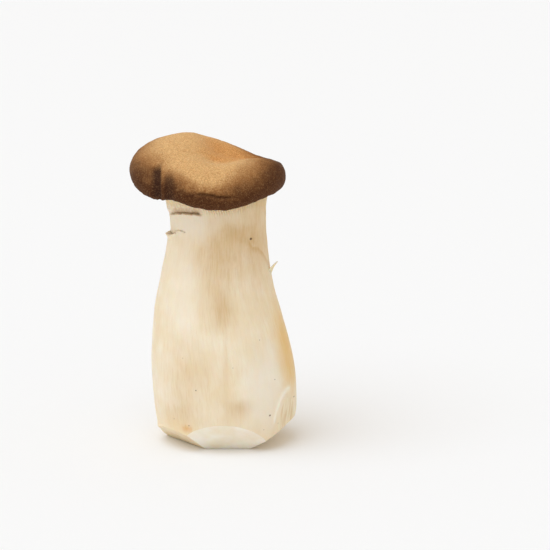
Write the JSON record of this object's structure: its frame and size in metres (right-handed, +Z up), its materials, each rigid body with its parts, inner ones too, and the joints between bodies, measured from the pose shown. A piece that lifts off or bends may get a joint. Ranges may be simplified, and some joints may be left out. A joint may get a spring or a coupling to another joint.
{
  "type": "king oyster mushroom",
  "caption": "Whole fresh king oyster mushroom with a stout pale stem and a brown cap, standing on its trimmed root.",
  "frame": {"origin": "middle of the underside of the bounding box, on the flat of the trimmed root", "axes": "+Z up the stem, -Y towards the side the cap leans over, +X to the right seen from that side"},
  "size_m": [0.0614, 0.0504, 0.1136],
  "materials": {
    "mushroom_flesh": "soft matt flesh, ivory on the stem and velvety brown on the cap"
  },
  "bodies": {
    "root": {"king_oyster_mushroom": "mushroom_flesh"}
  },
  "joints": []
}
